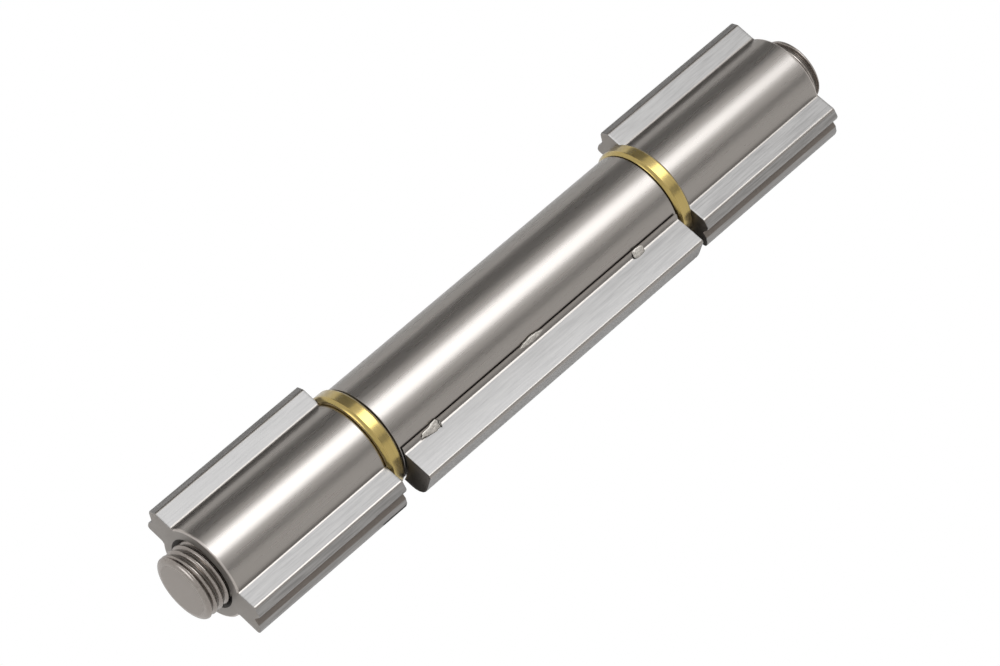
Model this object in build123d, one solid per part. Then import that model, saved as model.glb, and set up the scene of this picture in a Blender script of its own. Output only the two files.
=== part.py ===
"""Three-leaf hinge: two winged outer knuckles, a centre knuckle with one welded leaf,
two brass rings and a through pin with threaded ends.

The pin axis is +Z. The origin is on that axis, in the end face of the lower knuckle.
The flat front faces of the wings look towards -Y, and the welded leaf is on the +X side.
"""
import math
import os

from build123d import *

# Lengths along the pin, in millimetres
KNUCKLE_LENGTH = 38.2
RING_THICKNESS = 3.4
CENTRE_LENGTH = 75.9
RUNNING_PLAY = 0.25
LOWER_STICKOUT = 5.0
UPPER_STICKOUT = 4.2

# Barrels, rings and pin
BARREL_RADIUS = 10.0
CENTRE_RADIUS = 10.7
RING_RADIUS = 11.3
PIN_RADIUS = 7.0
THREAD_RADIUS = 6.95
ENGAGED_RADIUS = 6.5
THREAD_GROOVE_WIDTH = 0.3
CENTRE_CLEARANCE = 0.05
RING_CLEARANCE = 0.1
THREAD_CLEARANCE = 0.06
BARREL_RIM_CHAMFER = 0.4
CENTRE_RIM_CHAMFER = 0.3
RING_EDGE_CHAMFER = 0.6
MOUTH_MARGIN = 0.8
PIN_END_ROUNDING = 0.7

# Drawn wing section of the outer knuckles
WING_FRONT = 5.2
WING_THICKNESS = 7.0
WING_FRONT_REACH = 14.2
RIGHT_BACK_REACH = 15.15
LEFT_BACK_REACH = 13.9
WING_CHAMFER_WIDTH = 1.4
WING_CHAMFER_DEPTH = 1.0
WING_BACK_ROUNDING = 0.7
NOTCH_START = 1.8
NOTCH_BOTTOM = 3.45
NOTCH_END = 4.1
NOTCH_DEPTH = 0.8
NOTCH_ROUNDING = 0.4
LOBE_BULGE = 0.6
LOBE_HEIGHT = 1.2
LOBE_ROUNDING = 0.4
WING_ROOT_ROUNDING = 0.5

# Welded leaf of the centre knuckle
LEAF_SETBACK = 0.3
LEAF_HALF_WIDTH = 16.1
LEAF_FRONT = 6.2
LEAF_THICKNESS = 8.2
LEAF_FRONT_ROUNDING = 0.9
LEAF_BACK_ROUNDING = 3.4
LIP_RISE = 1.0
LIP_THICKNESS = 0.25
LIP_ROOT_ROUNDING = 0.4
SEAM_GAP = 0.3

# Tack welds on the seam: height of each one's middle above the lower end of the leaf, length, width,
# and how far its middle lies from the tip of the lip towards the flat of the leaf
TACKS = [
    (7.6, 4.6, 1.7, 0.7),
    (34.7, 6.2, 1.8, 0.1),
    (63.9, 3.0, 1.6, 0.7),
]
TACK_TILT = 45.0
TACK_RISE = 0.35
TACK_DEPTH = 0.8
TACK_CHAMFER = 0.15

RING_START = KNUCKLE_LENGTH
CENTRE_START = RING_START + RING_THICKNESS + RUNNING_PLAY
UPPER_RING_START = CENTRE_START + CENTRE_LENGTH + RUNNING_PLAY
UPPER_KNUCKLE_START = UPPER_RING_START + RING_THICKNESS
TOTAL_LENGTH = UPPER_KNUCKLE_START + KNUCKLE_LENGTH
LEAF_LENGTH = CENTRE_LENGTH - 2 * LEAF_SETBACK
LEAF_START = CENTRE_START + LEAF_SETBACK


def nearest(vertices, x, y):
    """The vertex of a flat section that lies nearest to a point."""
    return min(vertices, key=lambda v: math.hypot(v.X - x, v.Y - y))


def wing_section(side):
    """One wing with its bevelled front corner, notched outer edge and rounded back corner."""
    front = -WING_FRONT
    back = front + WING_THICKNESS
    outer = WING_FRONT_REACH
    reach = RIGHT_BACK_REACH if side > 0 else LEFT_BACK_REACH
    start = (outer, front + NOTCH_START)
    bottom = (outer - NOTCH_DEPTH, front + NOTCH_BOTTOM)
    end = (reach - LOBE_BULGE, front + NOTCH_END)
    lobe = (reach, front + NOTCH_END + LOBE_HEIGHT)
    points = [
        (0, front),
        (outer - WING_CHAMFER_WIDTH, front),
        (outer, front + WING_CHAMFER_DEPTH),
        start,
        bottom,
        end,
        lobe,
        (reach, back),
        (0, back),
    ]
    wing = make_face(Polyline(*[(side * x, y) for x, y in points], close=True))
    for spots, radius in (
        ([bottom], NOTCH_ROUNDING),
        ([start, end, lobe], LOBE_ROUNDING),
        ([(reach, back)], WING_BACK_ROUNDING),
    ):
        corners = wing.vertices()
        wing = fillet([nearest(corners, side * x, y) for x, y in spots], radius)
    return wing


def outer_knuckle_section():
    """Drawn steel section: round barrel with two opposite wings and small root fillets."""
    section = Circle(BARREL_RADIUS) + wing_section(1) + wing_section(-1)
    front = -WING_FRONT
    back = front + WING_THICKNESS
    roots = []
    for y in (front, back):
        x = math.sqrt(BARREL_RADIUS ** 2 - y ** 2)
        for side in (1, -1):
            roots.append(nearest(section.vertices(), side * x, y))
    return fillet(roots, WING_ROOT_ROUNDING)


def rim_cut(radius, chamfer, z, upward):
    """Ring-shaped cutter that breaks the outer rim of a barrel at height z."""
    inner = radius - chamfer
    outer = radius + chamfer
    step = chamfer if upward else -chamfer
    points = [(inner, z), (outer, z), (outer, z + 2 * step)]
    return revolve(Plane.XZ * make_face(Polyline(*points, close=True)), Axis.Z)


def mouth_cut(z, upward):
    """Countersink at the end of a threaded bore, a little wider than the thread's crests."""
    bore = ENGAGED_RADIUS + THREAD_CLEARANCE
    mouth = THREAD_RADIUS + MOUTH_MARGIN
    depth = mouth - bore if upward else bore - mouth
    points = [(0, z), (mouth, z), (bore, z + depth), (0, z + depth)]
    return revolve(Plane.XZ * make_face(Polyline(*points, close=True)), Axis.Z)


def outer_knuckle(z):
    """Cut length of the winged section, bored and countersunk, with both barrel rims broken."""
    body = Pos(0, 0, z) * extrude(outer_knuckle_section(), KNUCKLE_LENGTH)
    bore = Pos(0, 0, z) * Cylinder(
        ENGAGED_RADIUS + THREAD_CLEARANCE, KNUCKLE_LENGTH, align=(Align.CENTER, Align.CENTER, Align.MIN)
    )
    top = z + KNUCKLE_LENGTH
    body = body - bore - mouth_cut(z, True) - mouth_cut(top, False)
    return body - barrel_rim_cut(z, True) - barrel_rim_cut(top, False)


def barrel_rim_cut(z, upward):
    """The rim cutter, kept to the two open arcs of the barrel between the root fillets."""
    cutter = rim_cut(BARREL_RADIUS, BARREL_RIM_CHAMFER, z, upward)
    middle = WING_THICKNESS / 2 - WING_FRONT
    width = 2 * (BARREL_RADIUS + BARREL_RIM_CHAMFER)
    height = WING_THICKNESS + 2 * WING_ROOT_ROUNDING
    keep_out = Pos(0, middle, z) * Box(width, height, 4 * BARREL_RIM_CHAMFER)
    return cutter - keep_out


def ring(z):
    """Turned brass thrust ring with bevelled outer edges."""
    half = [
        (PIN_RADIUS + RING_CLEARANCE, 0),
        (RING_RADIUS - RING_EDGE_CHAMFER, 0),
        (RING_RADIUS, RING_EDGE_CHAMFER),
        (RING_RADIUS, RING_THICKNESS - RING_EDGE_CHAMFER),
        (RING_RADIUS - RING_EDGE_CHAMFER, RING_THICKNESS),
        (PIN_RADIUS + RING_CLEARANCE, RING_THICKNESS),
    ]
    return Pos(0, 0, z) * revolve(Plane.XZ * make_face(Polyline(*half, close=True)), Axis.Z)


def centre_barrel():
    """Plain tube that turns on the shank of the pin."""
    inner = PIN_RADIUS + CENTRE_CLEARANCE
    half = [
        (inner, 0),
        (CENTRE_RADIUS - CENTRE_RIM_CHAMFER, 0),
        (CENTRE_RADIUS, CENTRE_RIM_CHAMFER),
        (CENTRE_RADIUS, CENTRE_LENGTH - CENTRE_RIM_CHAMFER),
        (CENTRE_RADIUS - CENTRE_RIM_CHAMFER, CENTRE_LENGTH),
        (inner, CENTRE_LENGTH),
    ]
    return Pos(0, 0, CENTRE_START) * revolve(Plane.XZ * make_face(Polyline(*half, close=True)), Axis.Z)


def lip_tip(radius):
    """The tip of the lip on the seat or on the lip's outer face, which share the pin's axis."""
    outer = CENTRE_RADIUS + SEAM_GAP + LIP_THICKNESS
    y = -LEAF_FRONT - LIP_RISE
    return radius / outer * math.sqrt(outer ** 2 - y ** 2), radius / outer * y


def leaf_section():
    """Flat bar with a hollow seat for the barrel and a thin blunt lip along the seam."""
    seat = CENTRE_RADIUS + SEAM_GAP
    outer = seat + LIP_THICKNESS
    front = -LEAF_FRONT
    back = front + LEAF_THICKNESS
    tip = lip_tip(outer)
    base = (math.sqrt(outer ** 2 - front ** 2), front)
    turn = (math.atan2(tip[1], tip[0]) + math.atan2(base[1], base[0])) / 2
    heel = (math.sqrt(seat ** 2 - back ** 2), back)
    edges = [
        ThreePointArc(tip, (outer * math.cos(turn), outer * math.sin(turn)), base),
        Line(base, (LEAF_HALF_WIDTH, front)),
        Line((LEAF_HALF_WIDTH, front), (LEAF_HALF_WIDTH, back)),
        Line((LEAF_HALF_WIDTH, back), heel),
        ThreePointArc(heel, (seat, 0), lip_tip(seat)),
        Line(lip_tip(seat), tip),
    ]
    section = make_face(edges)
    for spot, radius in (
        (base, LIP_ROOT_ROUNDING),
        ((LEAF_HALF_WIDTH, front), LEAF_FRONT_ROUNDING),
        ((LEAF_HALF_WIDTH, back), LEAF_BACK_ROUNDING),
    ):
        section = fillet([nearest(section.vertices(), *spot)], radius)
    return section


def leaf():
    """The welded leaf, cut a little shorter than its barrel."""
    return Pos(0, 0, LEAF_START) * extrude(leaf_section(), LEAF_LENGTH)


def tack_weld(offset, length, width, shift):
    """Flat bead with round ends over the seam: it fills the gap and lies on the lip."""
    tilt = math.radians(TACK_TILT)
    normal = (math.sin(tilt), -math.cos(tilt), 0)
    x, y = lip_tip(CENTRE_RADIUS + SEAM_GAP + LIP_THICKNESS)
    origin = (x + shift * math.cos(tilt), y + shift * math.sin(tilt), LEAF_START + offset)
    middle = Plane(origin, x_dir=(0, 0, 1), z_dir=normal)
    outline = middle * SlotOverall(length, width)
    pad = extrude(outline, TACK_RISE)
    crown = pad.edges().group_by(Axis((0, 0, 0), normal))[-1]
    pad = chamfer(crown, TACK_CHAMFER)
    root = extrude(outline, -TACK_DEPTH)
    barrel = Cylinder(CENTRE_RADIUS, TOTAL_LENGTH, align=(Align.CENTER, Align.CENTER, Align.MIN))
    return pad + root - barrel - leaf()


def leaf_welds():
    """The three tack welds that hold the leaf on the barrel."""
    return Compound(children=[tack_weld(*tack) for tack in TACKS])


def hinge_pin():
    """Through pin: plain shank for the centre knuckle, threaded ends for the outer knuckles.

    Inside the outer knuckles the engaged threads are one cylinder at their mean radius.
    The free ends have the thread's outside radius and start after a thread groove at the mouth.
    """
    low = -LOWER_STICKOUT
    high = TOTAL_LENGTH + UPPER_STICKOUT
    half = [
        (0, low),
        (THREAD_RADIUS, low),
        (THREAD_RADIUS, -THREAD_GROOVE_WIDTH),
        (ENGAGED_RADIUS, -THREAD_GROOVE_WIDTH),
        (ENGAGED_RADIUS, KNUCKLE_LENGTH),
        (PIN_RADIUS, KNUCKLE_LENGTH),
        (PIN_RADIUS, UPPER_KNUCKLE_START),
        (ENGAGED_RADIUS, UPPER_KNUCKLE_START),
        (ENGAGED_RADIUS, TOTAL_LENGTH + THREAD_GROOVE_WIDTH),
        (THREAD_RADIUS, TOTAL_LENGTH + THREAD_GROOVE_WIDTH),
        (THREAD_RADIUS, high),
        (0, high),
    ]
    pin = revolve(Plane.XZ * make_face(Polyline(*half, close=True)), Axis.Z)
    ends = pin.edges().filter_by(GeomType.CIRCLE).filter_by(
        lambda e: abs(e.center().Z - low) < 1e-3 or abs(e.center().Z - high) < 1e-3
    )
    return fillet(ends, PIN_END_ROUNDING)


PARTS = {
    "lower_knuckle": outer_knuckle(0),
    "lower_brass_ring": ring(RING_START),
    "centre_knuckle": centre_barrel(),
    "welded_leaf": leaf(),
    "leaf_tack_welds": leaf_welds(),
    "upper_brass_ring": ring(UPPER_RING_START),
    "upper_knuckle": outer_knuckle(UPPER_KNUCKLE_START),
    "threaded_pin": hinge_pin(),
}

os.makedirs("parts", exist_ok=True)
for name, solid in PARTS.items():
    export_step(solid, f"parts/{name}.step")
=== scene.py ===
import math

import bmesh
import bpy
from bpy.props import FloatProperty, FloatVectorProperty, PointerProperty
from mathutils import Matrix, Quaternion, Vector, noise


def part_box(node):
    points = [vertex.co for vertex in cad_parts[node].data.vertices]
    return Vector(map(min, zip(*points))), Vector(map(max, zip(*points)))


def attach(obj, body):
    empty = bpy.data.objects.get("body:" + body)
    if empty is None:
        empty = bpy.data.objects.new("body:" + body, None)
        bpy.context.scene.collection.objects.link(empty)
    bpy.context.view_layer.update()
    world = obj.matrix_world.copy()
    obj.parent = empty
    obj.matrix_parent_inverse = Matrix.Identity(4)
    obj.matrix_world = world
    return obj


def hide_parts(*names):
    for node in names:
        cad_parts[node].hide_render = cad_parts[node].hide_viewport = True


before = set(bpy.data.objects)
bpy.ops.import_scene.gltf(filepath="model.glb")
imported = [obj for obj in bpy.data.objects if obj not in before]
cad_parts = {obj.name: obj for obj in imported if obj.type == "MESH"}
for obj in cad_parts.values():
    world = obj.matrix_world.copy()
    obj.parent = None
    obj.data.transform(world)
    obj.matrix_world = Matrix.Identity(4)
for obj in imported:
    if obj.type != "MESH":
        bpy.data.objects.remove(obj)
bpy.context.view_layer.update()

bl_info = {
    "name": "Three-leaf hinge",
    "version": (1, 0, 0),
    "blender": (4, 5, 0),
    "location": "3D View > Sidebar > Hinge",
    "description": "Builds a three-leaf weld-on hinge with brass rings and a threaded pin",
    "category": "Object",
}

FRAME_SIDE = "frame_side"
DOOR_SIDE = "door_side"

# How finely the round shapes are drawn. An arc of less than FULL_ARC metres in radius has
# longer steps, down to LEAST_SHARE of the usual number.
ARC_STEP = math.radians(1.5)
FULL_ARC, LEAST_SHARE = 0.008, 0.15
TURN_SEGMENTS = 192
CORNER_POINTS = 6
END_STEPS = 3
THREAD_STEPS = 32
BEAD_SIDES, BEAD_RINGS = 48, 18
# Metres from each end of a flat to the extra point that keeps its shading flat.
HOLD = 0.0001
# Metres by which a point may miss the barrel's surface and still be on it.
TOUCH = 0.00002
# At a sharp corner an inset is stretched by no more than one over this.
SHARPEST = 0.4
# About the share of a length that shows along each axis at 45 degrees.
DIAGONAL = 0.7

# The thread's wave: how far its roots are opened, how broad its crests are (less is broader)
# and how much of its depth is painted dark as shade.
ROOT_OPENING, CREST_POWER, DARK_SHARE = 0.08, 0.6, 0.4
# How full a weld bead's flanks are (less is fuller), and how many lumps it has in a metre.
BEAD_POWER, LUMP_SCALE = 0.6, 1700

# The brushed lines' noise: its detail, its roughness and the span where most of it lies.
NOISE_DETAIL, NOISE_ROUGHNESS, NOISE_SPAN = 4.0, 0.65, (0.33, 0.67)
# Clear lacquer's roughness and IOR.
LACQUER_ROUGHNESS, LACQUER_IOR = 0.3, 1.6

# Material slots of the knuckles and the leaf, of turned pieces, of the pin and of the welds.
BARREL, WING, GROOVE, END, BORE, RIM = range(6)
OUTSIDE, CUT = range(2)
THREAD, FACE, THREAD_ROOT = range(3)
BEAD, TOE = range(2)


def mm(value):
    """A length in millimetres, in metres."""
    return value / 1000


def mm_point(x, y, z):
    """A point given in millimetres, in metres."""
    return Vector((mm(x), mm(y), mm(z)))


def linear(code):
    """An sRGB hex colour as linear red, green and blue."""
    levels = [int(code[i:i + 2], 16) / 255 for i in (1, 3, 5)]
    return [c / 12.92 if c <= 0.04045 else ((c + 0.055) / 1.055) ** 2.4 for c in levels]


def node_span(name):
    """Lowest and highest height of a CAD node."""
    low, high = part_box(name)
    return low.z, high.z


def length(name, text, value):
    """A size property, given in millimetres."""
    return FloatProperty(name=name, description=text, default=mm(value), min=0, unit="LENGTH",
                         subtype="DISTANCE", precision=5)


def tint(name, text, code):
    """A colour property, given as an sRGB hex value."""
    return FloatVectorProperty(name=name, description=text, default=linear(code), min=0, max=1,
                               subtype="COLOR", size=3)


class KnuckleSizes(bpy.types.PropertyGroup):
    """Sizes of the winged section of the outer knuckles."""
    barrel: length("Barrel radius", "Outside radius of the barrel", 10.0)
    front: length("Wing front", "From the pin's axis to the front face of a wing", 5.2)
    thickness: length("Wing thickness", "Front face to back face of a wing", 7.0)
    front_reach: length("Front reach", "From the pin's axis to the wing's edge, in front", 14.2)
    right_reach: length("Right back reach", "The same behind the groove, right wing", 15.15)
    left_reach: length("Left back reach", "The same behind the groove, left wing", 13.9)
    chamfer_width: length("Chamfer width", "Width of the bevel on the wing's front corner", 1.4)
    chamfer_depth: length("Chamfer depth", "Depth of the bevel on the wing's front corner", 1.0)
    notch_start: length("Groove start", "From the front face of a wing to the groove", 1.8)
    notch_bottom: length("Groove bottom", "From the front face to the groove's bottom", 3.45)
    notch_end: length("Groove end", "From the front face to the groove's far side", 4.1)
    notch_depth: length("Groove depth", "Depth of the groove in the wing's outer edge", 0.8)
    lobe_bulge: length("Lobe bulge", "How far the edge behind the groove bulges out", 0.6)
    lobe_height: length("Lobe height", "From the groove to the widest point behind it", 1.2)
    root: length("Root rounding", "Fillet between a wing and the barrel", 0.5)
    right_root: length("Right root rounding", "The same at the right wing's front", 0.15)
    right_lean: length("Right wing lean", "How far the right wing's front corner leans out", 0.24)
    bright_strip: length("Bright strip", "Smooth strip of a wing's front beside its root", 0.22)
    chamfer_rounding: length("Bevel rounding", "Rounding between front face and bevel", 0.8)
    edge_rounding: length("Edge rounding", "Rounding of the widest edges of a wing", 0.5)
    lip_rounding: length("Groove lip rounding", "Rounding of the groove's front lip", 0.3)
    groove_rounding: length("Groove rounding", "Roundings inside the groove", 0.4)
    back_rounding: length("Back rounding", "Rounding of the wing's back corner", 0.7)
    end_rounding: length("End rounding", "Rounding of a wing's edges at its ends", 0.15)
    rim: length("Barrel rim", "Chamfer at both ends of the barrel", 0.4)
    mouth: length("Mouth radius", "Radius of the countersink at the end face", 7.75)
    bore: length("Bore radius", "Radius inside the countersink", 6.56)


class RingSizes(bpy.types.PropertyGroup):
    """Sizes of the brass thrust rings."""
    radius: length("Ring radius", "Outside radius of a ring", 11.3)
    bore: length("Ring bore", "Inside radius of a ring", 7.1)
    bevel: length("Ring bevel", "Bevel on the outer edges of a ring", 0.6)
    softness: length("Ring softness", "Softening of the bevel's own edges", 0.08)


class CentreSizes(bpy.types.PropertyGroup):
    """Sizes of the centre knuckle and its leaf."""
    radius: length("Centre radius", "Outside radius of the centre knuckle", 10.7)
    bore: length("Centre bore", "Inside radius of the centre knuckle", 7.05)
    rim: length("Centre rim", "Chamfer at both ends of the centre knuckle", 0.15)
    seam: length("Seam gap", "Gap between the centre knuckle and the leaf", 0.3)
    leaf_reach: length("Leaf reach", "From the pin's axis to the leaf's outer face", 16.1)
    leaf_front: length("Leaf front", "From the pin's axis to the leaf's front face", 6.2)
    leaf_thickness: length("Leaf thickness", "Front face to back face of the leaf", 8.2)
    lip_rise: length("Lip rise", "How far the lip stands above the leaf's front face", 1.0)
    lip_thickness: length("Lip thickness", "Thickness of the lip along the seam", 0.25)
    lip_root: length("Lip root", "Fillet between the lip and the leaf's front face", 0.12)
    lean: length("Leaf lean", "How far the front corner leans out past the front face", 0.2)
    crown: length("Leaf crown", "How far the middle of the front face stands out", 0.17)
    crown_radius: length("Crown radius", "Radius of the front face's crown", 90)
    bright_strip: length("Bright strip", "Smooth strip of the front face beside the lip", 0.3)
    front_rounding: length("Leaf front rounding", "Rounding of the leaf's front corner", 0.6)
    back_rounding: length("Leaf back rounding", "Rounding of the leaf's back corner", 3.4)
    end_rounding: length("Leaf end rounding", "Rounding of the edges at the leaf's ends", 0.08)


class PinSizes(bpy.types.PropertyGroup):
    """Sizes of the threaded pin."""
    crest: length("Crest radius", "Outside radius of the thread", 6.95)
    root: length("Root radius", "Radius at the bottom of the thread", 6.12)
    disc: length("Plain end", "Length of the plain end before the thread starts", 0.7)
    run_out: length("Run-out", "Length over which the thread reaches its full depth", 0.2)
    pitch: length("Pitch", "Distance from one thread crest to the next", 1.5)
    shank: length("Shank radius", "Radius of the plain middle of the pin", 7.0)
    end_rounding: length("End rounding", "Width of the rounding on the pin's two ends", 1.4)
    end_depth: length("End rounding depth", "Depth of the same rounding along the pin", 0.75)


class HingeColours(bpy.types.PropertyGroup):
    """Colours of the hinge's metals."""
    barrel: tint("Barrel steel", "Ground steel of the barrels", "#918c87")
    wing: tint("Wing steel", "Brushed steel of the wings and the leaf", "#8b8987")
    # Painted shade: the groove's colour is darker to stand for the shade inside the groove.
    groove: tint("Groove steel", "Soapy groove in the wings' outer edges", "#736c66")
    end: tint("Cut steel", "Sawn ends of the knuckles and the leaf", "#8d8883")
    # Painted highlight: the rims' colour is lighter to stand for light on the rim chamfers.
    rim: tint("Rim steel", "Freshly turned rims of the knuckles", "#afa8a2")
    # Painted shade: the bores' colour is nearly black to stand for the shade round the pin.
    bore: tint("Bore steel", "Oily threaded bores of the knuckles", "#504d4a")
    weld: tint("Weld metal", "Bright rough weld beads", "#b6b1aa")
    dark_toe: tint("Weld oxide", "Dark toes of the weld beads", "#5a5854")
    pin: tint("Pin steel", "Dull plated steel of the pin", "#928b85")
    # Painted shade: the thread's roots take this darker colour for the shade inside them.
    root_shade: tint("Thread residue", "Dark roots of the pin's thread", "#6a6560")
    brass: tint("Brass", "Turned brass of the rings", "#a68f47")
    floor: tint("Floor", "Pale floor far below the hinge", "#fbfbfb")


class StudioSettings(bpy.types.PropertyGroup):
    """The camera, the lamps, the cards and the floor."""
    eye: FloatVectorProperty(name="Camera place", description="Where the camera stands",
                             default=(0.20588, -0.73576, -0.30042), subtype="XYZ", unit="LENGTH")
    aim: FloatVectorProperty(name="Camera aim", description="The point in the picture's middle",
                             default=(0.00183, 0.00051, 0.07714), subtype="XYZ", unit="LENGTH")
    roll: FloatProperty(name="Camera roll", description="How far the camera is tipped sideways",
                        default=math.radians(49.5), subtype="ANGLE", unit="ROTATION")
    lens: FloatProperty(name="Lens", description="Focal length on a 36 mm wide sensor",
                        default=163.15, subtype="DISTANCE_CAMERA", unit="CAMERA")
    softbox_level: FloatProperty(name="Softbox level", default=3.9, min=0,
                                 description="Brightness of the softbox against the white studio")
    low_level: FloatProperty(name="Low softbox level", default=2.4, min=0,
                             description="Brightness of the small softbox below the near end")
    lamp_colour: FloatVectorProperty(name="Lamp colour", default=(0.95, 0.985, 1.03), size=3,
                                     description="Share of red, green and blue in the lamps")
    lamp_turn: FloatProperty(name="Lamp turn", default=math.radians(-6), subtype="ANGLE",
                             unit="ROTATION", description="How far a softbox's oval is turned")
    middle: length("Middle", "Height of the point that lamps and cards face", 75)
    lamp_distance: length("Lamp distance", "From that point to a softbox", 800)
    card_distance: length("Card distance", "From that point to a grey card", 1600)
    floor_drop: length("Floor drop", "How far the floor lies below the hinge", 1400)
    floor_size: length("Floor size", "Width and length of the floor", 12000)


def place_mesh(name, mesh, materials, body, nodes, sharp_angle=28):
    for material in materials:
        mesh.materials.append(material)
    mesh.shade_smooth()
    mesh.set_sharp_from_angle(angle=math.radians(sharp_angle))
    piece = bpy.data.objects.new(name, mesh)
    bpy.context.scene.collection.objects.link(piece)
    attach(piece, body)
    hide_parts(*nodes)


def finished(bm, name):
    """A closed mesh from bm, with every face looking outwards."""
    bmesh.ops.recalc_face_normals(bm, faces=bm.faces)
    mesh = bpy.data.meshes.new(name)
    bm.to_mesh(mesh)
    bm.free()
    return mesh


def join_loops(bm, first, second, material):
    """Quads between two loops of equally many vertices, with one slot or a list of slots."""
    count = len(first)
    for i in range(count):
        j = (i + 1) % count
        face = bm.faces.new((first[i], first[j], second[j], second[i]))
        face.material_index = material[i] if isinstance(material, list) else material


def loop_edges(bm, loop):
    """The edges round a loop of vertices, made where they are missing."""
    edges = []
    for a, b in zip(loop, loop[1:] + loop[:1]):
        edges.append(bm.edges.get((a, b)) or bm.edges.new((a, b)))
    return edges


def fill_flat(bm, loops, material):
    """Fills the flat area between an outer loop and any inner ones."""
    edges = [edge for loop in loops for edge in loop_edges(bm, loop)]
    made = bmesh.ops.triangle_fill(bm, edges=edges, use_beauty=True)
    for item in made["geom"]:
        if isinstance(item, bmesh.types.BMFace):
            item.material_index = material


def circle(bm, radius, height):
    """A loop round the pin's axis; the radius is a length or depends on the angle."""
    loop = []
    for i in range(TURN_SEGMENTS):
        a = 2 * math.pi * i / TURN_SEGMENTS
        r = radius(a) if callable(radius) else radius
        loop.append(bm.verts.new((r * math.cos(a), r * math.sin(a), height)))
    return loop


def turned(name, half, low, high, cut):
    """A closed ring turned round the pin's axis, alike at both ends.

    half holds (radius, depth) corners from the bore to the outside, and cut is the material
    slot of the two end faces and the bore.
    """
    bm = bmesh.new()
    loops = [circle(bm, radius, low + depth) for radius, depth in half]
    loops += [circle(bm, radius, high - depth) for radius, depth in reversed(half)]
    last = len(loops) - 1
    for i, loop in enumerate(loops):
        slot = cut if i in (0, last - 1, last) else OUTSIDE
        join_loops(bm, loop, loops[(i + 1) % len(loops)], slot)
    return finished(bm, name)


def rounded_corner(before, corner, after, radius):
    """Points of the arc that rounds the corner of two straight edges."""
    before, corner, after = Vector(before), Vector(corner), Vector(after)
    a, b = (before - corner).normalized(), (after - corner).normalized()
    half = math.acos(max(-1, min(1, a.dot(b)))) / 2
    reach = radius / math.tan(half)
    middle = corner + (a + b).normalized() * (radius / math.sin(half))
    start, end = corner + a * reach - middle, corner + b * reach - middle
    sweep = start.angle_signed(end)
    points = []
    for i in range(CORNER_POINTS):
        t = -sweep * i / (CORNER_POINTS - 1)
        c, s = math.cos(t), math.sin(t)
        points.append(middle + Vector((c * start.x - s * start.y, s * start.x + c * start.y)))
    return points


def arc(middle, radius, first, last):
    """Points of an arc about a middle, from one angle to another, ends included."""
    share = max(LEAST_SHARE, min(1, radius / FULL_ARC))
    steps = max(2, round(abs(last - first) / ARC_STEP * share))
    angles = [first + (last - first) * i / steps for i in range(steps + 1)]
    return [Vector((middle[0] + radius * math.cos(a), middle[1] + radius * math.sin(a)))
            for a in angles]


def root_fillet(barrel, root, plane):
    """Middle of the fillet between a round barrel and a face on one plane, on the +X side."""
    y = plane + math.copysign(root, plane)
    return Vector((math.sqrt((barrel + root) ** 2 - y ** 2), y))


def rounded(start, corners, end):
    """An open outline from start to end, with each corner rounded by its own radius."""
    spots = [start] + [spot for spot, _ in corners] + [end]
    points = [Vector(start)]
    for i, (_, radius) in enumerate(corners):
        points += rounded_corner(spots[i], spots[i + 1], spots[i + 2], radius)
    return points + [Vector(end)]


def wing_outline(s, reach, root, lean):
    """Outline of a right-hand wing from its front root to its back root, with the finishes."""
    front, back = -s.front, s.thickness - s.front
    outer = s.front_reach
    start, end = root_fillet(s.barrel, root, front), root_fillet(s.barrel, s.root, back)
    corners = [
        ((outer - s.chamfer_width, front - lean), s.chamfer_rounding),
        ((outer, front + s.chamfer_depth), s.edge_rounding),
        ((outer, front + s.notch_start), s.lip_rounding),
        ((outer - s.notch_depth, front + s.notch_bottom), s.groove_rounding),
        ((reach - s.lobe_bulge, front + s.notch_end), s.groove_rounding),
        ((reach, front + s.notch_end + s.lobe_height), s.edge_rounding),
        ((reach, back), s.back_rounding),
    ]
    strip = Vector((start.x + s.bright_strip, front))
    points = [Vector((start.x, front))] + rounded(strip, corners, (end.x, back))
    finishes = [BARREL] + [WING] * (len(points) - 1)
    # The first corner is worn as smooth as the barrel, and the third to fifth are the groove.
    for first, last, finish in ((0, 0, BARREL), (2, 4, GROOVE)):
        for i in range(2 + first * CORNER_POINTS, 1 + (last + 1) * CORNER_POINTS):
            finishes[i] = finish
    return points, finishes


def mirrored(points):
    """The points on the other side of the pin's axis, in the opposite order."""
    return [Vector((-p.x, p.y)) for p in reversed(points)]


def knuckle_outline(s):
    """Closed outline of the winged section, anticlockwise, with a finish for each edge."""
    front = root_fillet(s.barrel, s.right_root, -s.front)
    left_front = root_fillet(s.barrel, s.root, -s.front)
    back = root_fillet(s.barrel, s.root, s.thickness - s.front)
    turn, left_turn, back_turn = [math.atan2(p.y, p.x) for p in (front, left_front, back)]
    right, right_finish = wing_outline(s, s.right_reach, s.right_root, s.right_lean)
    left, left_finish = wing_outline(s, s.left_reach, s.root, 0)
    back_fillet = arc(back, s.root, -math.pi / 2, back_turn - math.pi)[1:]
    front_fillet = arc(front, s.right_root, turn + math.pi, math.pi / 2)[:-1]
    left_fillet = arc(left_front, s.root, left_turn + math.pi, math.pi / 2)[:-1]
    back_arc = arc((0, 0), s.barrel, back_turn, math.pi - back_turn)[1:-1]
    front_arc = arc((0, 0), s.barrel, -math.pi - left_turn, turn)[1:-1]
    points, finishes = list(right), list(right_finish)
    for part in (back_fillet, back_arc, mirrored(back_fillet)):
        points += part
        finishes += [BARREL] * len(part)
    points += mirrored(left)
    finishes += list(reversed(left_finish[:-1])) + [BARREL]
    for part in (mirrored(left_fillet), front_arc, front_fillet):
        points += part
        finishes += [BARREL] * len(part)
    return held(points, finishes)


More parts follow.
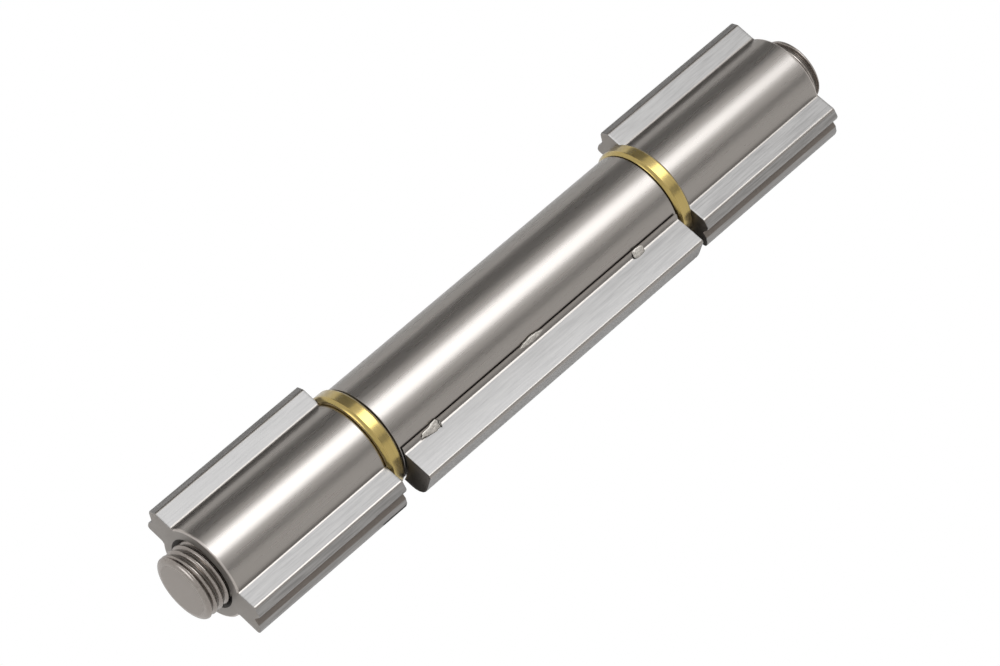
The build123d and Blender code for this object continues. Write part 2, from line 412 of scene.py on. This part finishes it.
def held(points, finishes):
    """The closed outline with a point close to both ends of each flat, to shade it as a flat."""
    more, kinds = [], []
    for i, (point, finish) in enumerate(zip(points, finishes)):
        step = points[(i + 1) % len(points)] - point
        more.append(point)
        kinds.append(finish)
        if step.length > 4 * HOLD:
            near = step.normalized() * HOLD
            more += [point + near, point + step - near]
            kinds += [finish, finish]
    return more, kinds


def outward(points):
    """The outward direction at each point of a closed outline that runs anticlockwise."""
    result = []
    for i, point in enumerate(points):
        before, after = points[i - 1], points[(i + 1) % len(points)]
        first, second = (point - before).normalized(), (after - point).normalized()
        a, b = Vector((first.y, -first.x)), Vector((second.y, -second.x))
        middle = (a + b).normalized()
        result.append(middle / max(SHARPEST, middle.dot(a)))
    return result


def section_loop(bm, points, normals, insets, height):
    """A loop of the section at a height, drawn in from the outline by the insets."""
    return [bm.verts.new((p.x - n.x * d, p.y - n.y * d, height))
            for p, n, d in zip(points, normals, insets)]


def end_loops(bm, points, normals, sizes, height, inward):
    """Loops that round the edge at one end of a bar, from its end face inwards."""
    loops = []
    for i in range(END_STEPS + 1):
        t = math.pi / 2 * i / END_STEPS
        insets = [size * (1 - math.sin(t)) for size in sizes]
        loop = section_loop(bm, points, normals, insets, height)
        for vert, size in zip(loop, sizes):
            vert.co.z += inward * size * (1 - math.cos(t))
        loops.append(loop)
    return loops


def bar_loops(bm, points, rims, low, high):
    """The loops of a bar with rounded end edges, from its lower to its upper end face."""
    normals = outward(points)
    flush = [0] * len(points)
    reach = max(rims) + HOLD
    loops = end_loops(bm, points, normals, rims, low, 1)
    loops.append(section_loop(bm, points, normals, flush, low + reach))
    loops.append(section_loop(bm, points, normals, flush, high - reach))
    return loops + end_loops(bm, points, normals, rims, high, -1)[::-1]


def knuckle_mesh(name, s, low, high):
    """Outer knuckle: the winged section with broken ends and a countersunk bore."""
    bm = bmesh.new()
    points, finishes = knuckle_outline(s)
    on_barrel = [abs(p.length - s.barrel) < TOUCH for p in points]
    rims = [s.rim if here else s.end_rounding for here in on_barrel]
    loops = bar_loops(bm, points, rims, low, high)
    rim_finishes = [RIM if here else finish for here, finish in zip(on_barrel, finishes)]
    along = range(END_STEPS, len(loops) - 1 - END_STEPS)
    for i, (first, second) in enumerate(zip(loops, loops[1:])):
        join_loops(bm, first, second, finishes if i in along else rim_finishes)
    depth = s.mouth - s.bore
    bore = [circle(bm, radius, height) for radius, height in (
        (s.mouth, low), (s.bore, low + depth), (s.bore, high - depth), (s.mouth, high))]
    for first, second in zip(bore, bore[1:]):
        join_loops(bm, first, second, BORE)
    fill_flat(bm, [loops[0], bore[0]], END)
    fill_flat(bm, [loops[-1], bore[-1]], END)
    return finished(bm, name)


def leaf_outline(s):
    """Closed outline of the leaf, anticlockwise: lip, front, outer face, back and hollow seat."""
    seat = s.radius + s.seam
    outer = seat + s.lip_thickness
    front, back = -s.leaf_front, s.leaf_thickness - s.leaf_front
    lip = math.asin((front - s.lip_rise) / outer)
    heel = math.asin(back / seat)
    root = root_fillet(outer, s.lip_root, front)
    turn = math.atan2(root.y, root.x)
    crown = Vector(((root.x + s.leaf_reach) / 2, front - s.crown))
    corners = [(crown, s.crown_radius), ((s.leaf_reach, front - s.lean), s.front_rounding),
               ((s.leaf_reach, back), s.back_rounding)]
    strip = Vector((root.x + s.bright_strip, front))
    smooth = arc((0, 0), outer, lip, turn)[:-1]
    smooth += arc(root, s.lip_root, turn + math.pi, math.pi / 2)
    brushed = rounded(strip, corners, (seat * math.cos(heel), back))
    hollow = arc((0, 0), seat, heel, lip)[1:]
    finishes = [WING] * (len(brushed) - 1)
    # The front corner is as smooth as the barrel.
    edge = slice(1 + CORNER_POINTS, 2 * CORNER_POINTS)
    finishes[edge] = [BARREL] * len(finishes[edge])
    finishes = [BARREL] * len(smooth) + finishes + [BARREL] * (len(hollow) + 1)
    return held(smooth + brushed + hollow, finishes)


def leaf_mesh(name, s, low, high):
    """The leaf bar with softly broken ends."""
    bm = bmesh.new()
    points, finishes = leaf_outline(s)
    loops = bar_loops(bm, points, [s.end_rounding] * len(points), low, high)
    for first, second in zip(loops, loops[1:]):
        join_loops(bm, first, second, finishes)
    fill_flat(bm, [loops[0]], END)
    fill_flat(bm, [loops[-1]], END)
    return finished(bm, name)


def thread_radius(s, angle, height):
    """Radius of a right-hand rolled thread, rounded at its crests and roots."""
    turn = 2 * math.pi * height / s.pitch - angle
    wave = (0.5 + ROOT_OPENING + 0.5 * math.cos(turn)) / (1 + ROOT_OPENING)
    return s.root + (s.crest - s.root) * wave ** CREST_POWER


def pin_radius(s, angle, depth, height):
    """Radius of the pin near an end: domed edge, short plain part, then the thread."""
    rise = max(0, 1 - depth / s.end_depth)
    plain_part = s.crest - s.end_rounding * (1 - math.sqrt(1 - rise ** 2))
    fade = max(0, min(1, (depth - s.disc) / s.run_out))
    return plain_part + min(0, thread_radius(s, angle, height) - plain_part) * fade


def pin_mesh(name, s, low, high, thread_low, thread_high):
    """The whole pin: threaded from each end to the given heights, plain between."""
    bm = bmesh.new()
    step = s.pitch / THREAD_STEPS
    near = [low + step * i for i in range(int((thread_low - low) / step) + 1)]
    far = [high - step * i for i in range(int((high - thread_high) / step) + 1)][::-1]
    rows = []
    for height in near:
        rows.append(circle(bm, lambda a: pin_radius(s, a, height - low, height), height))
    rows.append(circle(bm, s.shank, near[-1] + step))
    rows.append(circle(bm, s.shank, far[0] - step))
    for height in far:
        rows.append(circle(bm, lambda a: pin_radius(s, a, high - height, height), height))
    for first, second in zip(rows, rows[1:]):
        join_loops(bm, first, second, THREAD)
    # Faces deep in the roots take the darker material: painted shade.
    dark_radius = s.root + (s.crest - s.root) * DARK_SHARE
    for face in bm.faces:
        middle = face.calc_center_median()
        if middle.xy.length < dark_radius and low + s.disc < middle.z < high - s.disc:
            face.material_index = THREAD_ROOT
    for row, height in ((rows[0], low), (rows[-1], high)):
        inner = circle(bm, row[0].co.xy.length / 2, height)
        join_loops(bm, row, inner, FACE)
        bm.faces.new(inner).material_index = FACE
    return finished(bm, name)


def bead(bm, place, size, power, taper, lumps, seed, toe):
    """One weld bead: a blob that is oval at a power of 2 and squarish above that.

    taper widens its far end, lumps is the share by which its surface is uneven, and toe is
    the share of the way from its top to its root where it turns dark.
    """
    half_length, half_width, rise, root = size
    loops = []
    for j in range(1, BEAD_RINGS):
        t = math.pi * j / BEAD_RINGS
        loop = []
        for i in range(BEAD_SIDES):
            a = 2 * math.pi * i / BEAD_SIDES
            c, s = math.cos(a), math.sin(a)
            outline = (abs(c) ** power + abs(s) ** power) ** (-1 / power)
            scale = outline * math.sin(t) ** BEAD_POWER
            height = math.cos(t) * (rise if t < math.pi / 2 else root)
            widen = 1 + taper * scale * c
            spot = Vector((half_length * scale * c, half_width * scale * s * widen, height))
            spot *= 1 + lumps * noise.noise(spot * LUMP_SCALE + Vector((seed, seed * 2, 0)))
            loop.append(bm.verts.new(place @ spot))
        loops.append(loop)
    for j, (first, second) in enumerate(zip(loops, loops[1:])):
        join_loops(bm, first, second, TOE if j > BEAD_RINGS * toe else BEAD)
    top = bm.verts.new(place @ Vector((0, 0, rise)))
    bottom = bm.verts.new(place @ Vector((0, 0, -root)))
    for loop, tip, slot in ((loops[0], top, BEAD if toe else TOE), (loops[-1], bottom, TOE)):
        for i in range(BEAD_SIDES):
            bm.faces.new((loop[i], loop[(i + 1) % BEAD_SIDES], tip)).material_index = slot


def add_node(tree, kind, inputs=None, **settings):
    """Adds a node, sets its own settings, and sets or links its inputs."""
    node = tree.nodes.new(kind)
    for key, value in settings.items():
        setattr(node, key, value)
    for key, value in (inputs or {}).items():
        if isinstance(value, bpy.types.NodeSocket):
            tree.links.new(value, node.inputs[key])
        else:
            node.inputs[key].default_value = value
    return node


def metal(name, colour, roughness, grain, tone, spread, depth, turned_grain=False, coat=0):
    """A metal with grain, whose width, length and depth are in millimetres.

    tone is the share by which the colour varies with the grain, spread is how far the
    roughness does, turned_grain lays the lines round the pin's axis and coat is the share
    of clear lacquer.
    """
    material = bpy.data.materials.new(name)
    material.use_nodes = True
    tree = material.node_tree
    tree.nodes.clear()
    place = add_node(tree, "ShaderNodeTexCoord").outputs["Object"]
    if turned_grain:
        apart = add_node(tree, "ShaderNodeSeparateXYZ", {"Vector": place})
        flat = add_node(tree, "ShaderNodeCombineXYZ", {"X": apart.outputs["X"],
                                                       "Y": apart.outputs["Y"]})
        radius = add_node(tree, "ShaderNodeVectorMath", {0: flat.outputs["Vector"]},
                          operation="LENGTH")
        place = add_node(tree, "ShaderNodeCombineXYZ", {
            "X": radius.outputs["Value"], "Z": apart.outputs["Z"]}).outputs["Vector"]
    width, run = [mm(part) for part in grain]
    stretch = (1 / width, 1 / width, 1 / run)
    scaled = add_node(tree, "ShaderNodeMapping", {"Vector": place, "Scale": stretch})
    lines = add_node(tree, "ShaderNodeTexNoise", {
        "Vector": scaled.outputs["Vector"], "Scale": 1.0, "Detail": NOISE_DETAIL,
        "Roughness": NOISE_ROUGHNESS})
    streaks = add_node(tree, "ShaderNodeMapRange", {
        "Value": lines.outputs["Fac"], "From Min": NOISE_SPAN[0],
        "From Max": NOISE_SPAN[1]}).outputs["Result"]
    pale = [min(1, c * (1 + tone)) for c in colour] + [1]
    dark = [c * (1 - tone) for c in colour] + [1]
    mix = add_node(tree, "ShaderNodeMix", {0: streaks, 6: dark, 7: pale}, data_type="RGBA")
    rough = add_node(tree, "ShaderNodeMapRange", {
        "Value": streaks, "To Min": roughness - spread, "To Max": roughness + spread})
    bump = add_node(tree, "ShaderNodeBump", {
        "Height": streaks, "Strength": 1.0, "Distance": mm(depth)})
    shader = add_node(tree, "ShaderNodeBsdfPrincipled", {
        "Base Color": mix.outputs[2], "Roughness": rough.outputs["Result"],
        "Normal": bump.outputs["Normal"], "Metallic": 1.0, "Coat Weight": coat,
        "Coat Roughness": LACQUER_ROUGHNESS, "Coat IOR": LACQUER_IOR})
    add_node(tree, "ShaderNodeOutputMaterial", {"Surface": shader.outputs["BSDF"]})
    return material


def plain(name, colour, roughness):
    """A plain dull surface for the stage."""
    material = bpy.data.materials.new(name)
    material.use_nodes = True
    shader = material.node_tree.nodes["Principled BSDF"]
    shader.inputs["Base Color"].default_value = list(colour) + [1]
    shader.inputs["Roughness"].default_value = roughness
    return material


def barrel_steel(colours):
    # Cold-drawn mild steel, ground round: satin, with a soft bright band and faint long lines.
    # The real lines are under 0.1 mm wide; they are drawn at 0.4 mm so that they show.
    return metal("ground_mild_steel", colours.barrel, 0.28, (0.4, 14), 0.015, 0.01, 0.0001)


def wing_steel(colours):
    # Cold-drawn mild steel, brushed lengthwise: paler, with fine lines. The real lines are
    # about 0.1 mm wide; they are drawn at 0.4 mm so that they show at this size.
    return metal("brushed_mild_steel", colours.wing, 0.42, (0.4, 8), 0.22, 0.06, 0.001)


def cut_steel(colours):
    # Sawn and faced mild steel: dull grey with fine even grain of about 0.15 mm.
    return metal("sawn_mild_steel", colours.end, 0.5, (0.15, 0.15), 0.06, 0.05, 0.002)


class HINGE_OT_knuckles(bpy.types.Operator):
    """Build the two outer knuckles with their wings"""
    bl_idname = "hinge.knuckles"
    bl_label = "Outer knuckles"

    def execute(self, context):
        sizes, colours = context.scene.hinge_knuckles, context.scene.hinge_colours
        # The bore's thread lies deep in the shade of the pin; that shade is painted in: nearly
        # black.
        bore = metal("threaded_bore_painted_shade", colours.bore, 0.5, (0.3, 0.3), 0.1, 0.05, 0.004)
        # The groove is drawn, never ground; it is painted dark and a little brown as its shade,
        # with long marks of the die about 0.2 mm wide.
        groove = metal("groove_steel_painted_shade", colours.groove, 0.5, (0.2, 9), 0.1, 0.08, 0.002)
        # The rims are turned and painted lighter than the sawn ends beside them: a painted
        # highlight.
        # Their grain is under 0.1 mm; it is drawn at 0.3 mm, which keeps it even at this size.
        rim = metal("rim_steel_painted_highlight", colours.rim, 0.3, (0.3, 0.3), 0.03, 0.02, 0.0005)
        materials = [barrel_steel(colours), wing_steel(colours), groove, cut_steel(colours),
                     bore, rim]
        for place in ("lower", "upper"):
            node = place + "_knuckle"
            low, high = node_span(node)
            mesh = knuckle_mesh("knuckle_" + place, sizes, low, high)
            place_mesh("knuckle_" + place, mesh, materials, FRAME_SIDE, [node])
        return {"FINISHED"}


class HINGE_OT_rings(bpy.types.Operator):
    """Build the two brass thrust rings"""
    bl_idname = "hinge.rings"
    bl_label = "Brass rings"

    def execute(self, context):
        s, colours = context.scene.hinge_rings, context.scene.hinge_colours
        # Free-cutting brass, turned and clear lacquered: lines that run round the ring, and
        # white highlights from the lacquer. The real lines are about 0.1 mm apart; they are
        # drawn at 0.2 mm so that they show.
        brass = metal("turned_brass", colours.brass, 0.2, (0.2, 0.2), 0.05, 0.02, 0.001,
                      turned_grain=True, coat=1)
        edge, soft = s.radius - s.bevel, s.softness
        slant = soft * DIAGONAL
        half = [(s.bore, 0), (edge - soft - HOLD, 0), (edge - soft, 0), (edge + slant, slant),
                (s.radius - slant, s.bevel - slant), (s.radius, s.bevel + soft),
                (s.radius, s.bevel + soft + HOLD)]
        for place in ("lower", "upper"):
            node = place + "_brass_ring"
            mesh = turned("ring_" + place, half, *node_span(node), OUTSIDE)
            place_mesh("ring_" + place, mesh, [brass], FRAME_SIDE, [node])
        return {"FINISHED"}


class HINGE_OT_centre(bpy.types.Operator):
    """Build the centre knuckle"""
    bl_idname = "hinge.centre"
    bl_label = "Centre knuckle"

    def execute(self, context):
        s, colours = context.scene.hinge_centre, context.scene.hinge_colours
        slant = s.rim * (1 - DIAGONAL)
        half = [(s.bore, 0), (s.radius - s.rim, 0), (s.radius - slant, slant),
                (s.radius, s.rim), (s.radius, s.rim + HOLD)]
        mesh = turned("knuckle_centre", half, *node_span("centre_knuckle"), CUT)
        place_mesh("knuckle_centre", mesh, [barrel_steel(colours), cut_steel(colours)], DOOR_SIDE,
                   ["centre_knuckle"])
        return {"FINISHED"}


class HINGE_OT_leaf(bpy.types.Operator):
    """Build the leaf beside the centre knuckle"""
    bl_idname = "hinge.leaf"
    bl_label = "Leaf"

    def execute(self, context):
        s, colours = context.scene.hinge_centre, context.scene.hinge_colours
        low, high = node_span("welded_leaf")
        mesh = leaf_mesh("leaf_bar", s, low, high)
        sawn = cut_steel(colours)
        # The leaf has no groove, so the sawn steel stands in that slot too.
        materials = [barrel_steel(colours), wing_steel(colours), sawn, sawn]
        place_mesh("leaf_bar", mesh, materials, DOOR_SIDE, ["welded_leaf"])
        return {"FINISHED"}


class HINGE_OT_welds(bpy.types.Operator):
    """Build the three tack welds on the seam"""
    bl_idname = "hinge.welds"
    bl_label = "Tack welds"

    def execute(self, context):
        s, colours = context.scene.hinge_centre, context.scene.hinge_colours
        low, _ = node_span("welded_leaf")
        outer = s.radius + s.seam + s.lip_thickness
        tip_y = -s.leaf_front - s.lip_rise
        tip = Vector((math.sqrt(outer ** 2 - tip_y ** 2), tip_y, low))
        bm = bmesh.new()
        # Height on the leaf and shift from the seam in mm, tilt in degrees, then half length,
        # half width, rise and root in mm, power, taper, lumps, seed and toe. The second is the
        # dark crater where the first one ends.
        beads = [
            (6.9, 0.75, 35, (2.3, 0.8, 0.17, 0.8), 3.0, 0.45, 0.26, 3, 0.55),
            (9.15, 1.0, 35, (0.26, 0.85, 0.26, 0.6), 2.0, 0.0, 0.1, 5, 0),
            (34.7, 0.2, 45, (3.1, 0.62, 0.15, 0.8), 1.6, 0.0, 0.16, 7, 0.55),
            (63.9, 0.85, 35, (1.4, 0.9, 0.2, 0.8), 4.0, 0.0, 0.1, 11, 0.44),
        ]
        for height, shift, tilt, size, power, taper, lumps, seed, toe in beads:
            turn = math.radians(tilt)
            out = Vector((math.sin(turn), -math.cos(turn), 0))
            side = Vector((math.cos(turn), math.sin(turn), 0))
            spot = tip + side * mm(shift) + Vector((0, 0, mm(height)))
            axes = Matrix((Vector((0, 0, 1)), side, out)).transposed().to_4x4()
            size = [mm(part) for part in size]
            bead(bm, Matrix.Translation(spot) @ axes, size, power, taper, lumps, seed, toe)
        # Mild-steel weld metal, left as it froze: bright, a little yellow and uneven, with
        # ripples of about 0.4 mm.
        weld = metal("bright_weld_metal", colours.weld, 0.4, (0.4, 0.4), 0.3, 0.1, 0.04)
        # The lower part of each bead, where it meets the steel, is darker.
        dark_toe = metal("dark_weld_toe", colours.dark_toe, 0.6, (0.3, 0.3), 0.2, 0.1, 0.01)
        place_mesh("tack_welds", finished(bm, "tack_welds"), [weld, dark_toe], DOOR_SIDE,
                   ["leaf_tack_welds"], sharp_angle=60)
        return {"FINISHED"}


class HINGE_OT_pin(bpy.types.Operator):
    """Build the pin with its threaded ends"""
    bl_idname = "hinge.pin"
    bl_label = "Threaded pin"

    def execute(self, context):
        s, colours = context.scene.hinge_pin, context.scene.hinge_colours
        low, high = node_span("threaded_pin")
        face_low, _ = node_span("lower_knuckle")
        _, face_high = node_span("upper_knuckle")
        # The relief ends two pitches inside the knuckles, where nothing of it can be seen.
        hidden = 2 * s.pitch
        mesh = pin_mesh("pin", s, low, high, face_low + hidden, face_high - hidden)
        # Rolled thread on mild steel, thinly plated: smooth, with bright soft crests and faint
        # mottling of about 0.4 mm.
        thread = metal("plated_thread_steel", colours.pin, 0.24, (0.4, 0.4), 0.06, 0.05,
                       0.0005)
        # Faced end of the plated pin: even and matt, with grain of about 0.3 mm.
        face = metal("plated_end_steel", colours.pin, 0.42, (0.3, 0.3), 0.04, 0.04, 0.002)
        # The thread's roots are painted dark: painted shade deep in the grooves.
        root = metal("thread_root_painted_shade", colours.root_shade, 0.4, (0.4, 0.4), 0.06, 0.05,
                     0.0005)
        place_mesh("pin", mesh, [thread, face, root], FRAME_SIDE, ["threaded_pin"],
                   sharp_angle=50)
        return {"FINISHED"}


class HINGE_OT_stage(bpy.types.Operator):
    """Set the camera, the white studio, its lamps and cards and the floor"""
    bl_idname = "hinge.stage"
    bl_label = "Stage"

    def execute(self, context):
        scene, studio = context.scene, context.scene.hinge_studio
        camera = bpy.data.objects.new("camera", bpy.data.cameras.new("camera"))
        scene.collection.objects.link(camera)
        camera.data.sensor_width = 36
        camera.data.lens = studio.lens
        camera.data.clip_start, camera.data.clip_end = 0.05, 50
        view = (Vector(studio.aim) - Vector(studio.eye)).normalized()
        upright = view.to_track_quat("-Z", "Y").to_matrix().to_4x4()
        turn = Matrix.Rotation(studio.roll, 4, -view) @ upright
        camera.matrix_world = Matrix.Translation(studio.eye) @ turn
        scene.camera = camera

        world = bpy.data.worlds.new("white_studio")
        world.use_nodes = True
        world.node_tree.nodes["Background"].inputs["Color"].default_value = (1, 1, 1, 1)
        scene.world = world
        scene.view_settings.view_transform = "Standard"

        # Azimuth and elevation in degrees, then width and height in metres.
        self.softbox(studio, (-94.8, 14.5), (0.49, 0.7), studio.softbox_level)
        self.softbox(studio, (-170, -74), (0.4, 0.4), studio.low_level)
        middle, away = Vector((0, 0, studio.middle)), studio.card_distance
        self.card("grey_card_left", middle, (-153.5, 26), away, (1.1, 2.2), 0.3)
        self.card("grey_card_right", middle, (-47, 26), away, (0.4, 2.2), 0.5)
        self.card("grey_card_back", middle, (115, 28), away, (3.4, 2.2), 0.8)
        # Small black flags in the gaps beside the rings keep the light off the end faces there.
        for name, height in (("lower_flag", 37.4), ("upper_flag", 116.6)):
            self.card(name, mm_point(13.9, 2.5, height), (-90, 0), 0, (mm(6.4), mm(9.2)), 0.01)

        floor = self.sheet("floor", studio.floor_size, studio.floor_size)
        floor.location.z = -studio.floor_drop
        floor.data.materials.append(plain("pale_floor_paint", scene.hinge_colours.floor, 0.9))
        return {"FINISHED"}

    def direction(self, azimuth, elevation):
        """A direction from its angles in degrees."""
        a, e = math.radians(azimuth), math.radians(elevation)
        return Vector((math.cos(a) * math.cos(e), math.sin(a) * math.cos(e), math.sin(e)))

    def softbox(self, studio, angles, size, level):
        """An oval lamp that faces the hinge, level times as bright as the white world."""
        lamp = bpy.data.lights.new("softbox", "AREA")
        lamp.shape = "ELLIPSE"
        lamp.size, lamp.size_y = size
        # An oval's area is pi / 4 of its sides' product, and it gives pi watts for each square
        # metre at a brightness of 1.
        lamp.energy = level * math.pi * math.pi / 4 * size[0] * size[1]
        lamp.color = studio.lamp_colour
        box = bpy.data.objects.new("softbox", lamp)
        out = self.direction(*angles)
        box.location = Vector((0, 0, studio.middle)) + out * studio.lamp_distance
        turn = Quaternion(out, studio.lamp_turn)
        box.rotation_euler = (turn @ out.to_track_quat("Z", "Y")).to_euler()
        bpy.context.scene.collection.objects.link(box)

    def card(self, name, middle, angles, distance, size, paleness):
        """A felt card that the lens doesn't see, but the metal mirrors as a darker patch."""
        card = self.sheet(name, *size)
        out = self.direction(*angles)
        card.location = middle + out * distance
        card.rotation_euler = out.to_track_quat("Z", "Y").to_euler()
        card.visible_camera = False
        card.data.materials.append(plain(name + "_felt", [paleness] * 3, 1.0))

    def sheet(self, name, width, height):
        """A flat sheet that isn't part of the hinge."""
        bm = bmesh.new()
        bm.faces.new([bm.verts.new((x * width / 2, y * height / 2, 0))
                      for x, y in ((-1, -1), (1, -1), (1, 1), (-1, 1))])
        mesh = bpy.data.meshes.new(name)
        bm.to_mesh(mesh)
        bm.free()
        made = bpy.data.objects.new(name, mesh)
        bpy.context.scene.collection.objects.link(made)
        return made


class HINGE_PT_panel(bpy.types.Panel):
    """The hinge's pieces, in the sidebar"""
    bl_idname = "HINGE_PT_panel"
    bl_label = "Three-leaf hinge"
    bl_space_type = "VIEW_3D"
    bl_region_type = "UI"
    bl_category = "Hinge"

    def draw(self, context):
        for operator in OPERATORS:
            self.layout.operator(operator.bl_idname)


GROUPS = {
    "hinge_knuckles": KnuckleSizes,
    "hinge_rings": RingSizes,
    "hinge_centre": CentreSizes,
    "hinge_pin": PinSizes,
    "hinge_colours": HingeColours,
    "hinge_studio": StudioSettings,
}
OPERATORS = [HINGE_OT_knuckles, HINGE_OT_rings, HINGE_OT_centre, HINGE_OT_leaf, HINGE_OT_welds,
             HINGE_OT_pin, HINGE_OT_stage]


def register():
    for group in GROUPS.values():
        bpy.utils.register_class(group)
    for name, group in GROUPS.items():
        setattr(bpy.types.Scene, name, PointerProperty(type=group))
    for cls in OPERATORS + [HINGE_PT_panel]:
        bpy.utils.register_class(cls)


def unregister():
    for cls in reversed(OPERATORS + [HINGE_PT_panel]):
        bpy.utils.unregister_class(cls)
    for name, group in GROUPS.items():
        delattr(bpy.types.Scene, name)
        bpy.utils.unregister_class(group)


def main():
    register()
    for name in ("Cube", "Light", "Camera"):
        spare = bpy.data.objects.get(name)
        if spare is not None:
            bpy.data.objects.remove(spare)
    bpy.ops.hinge.stage()
    bpy.ops.hinge.knuckles()
    bpy.ops.hinge.rings()
    bpy.ops.hinge.centre()
    bpy.ops.hinge.leaf()
    bpy.ops.hinge.welds()
    bpy.ops.hinge.pin()


if __name__ == "__main__":
    main()
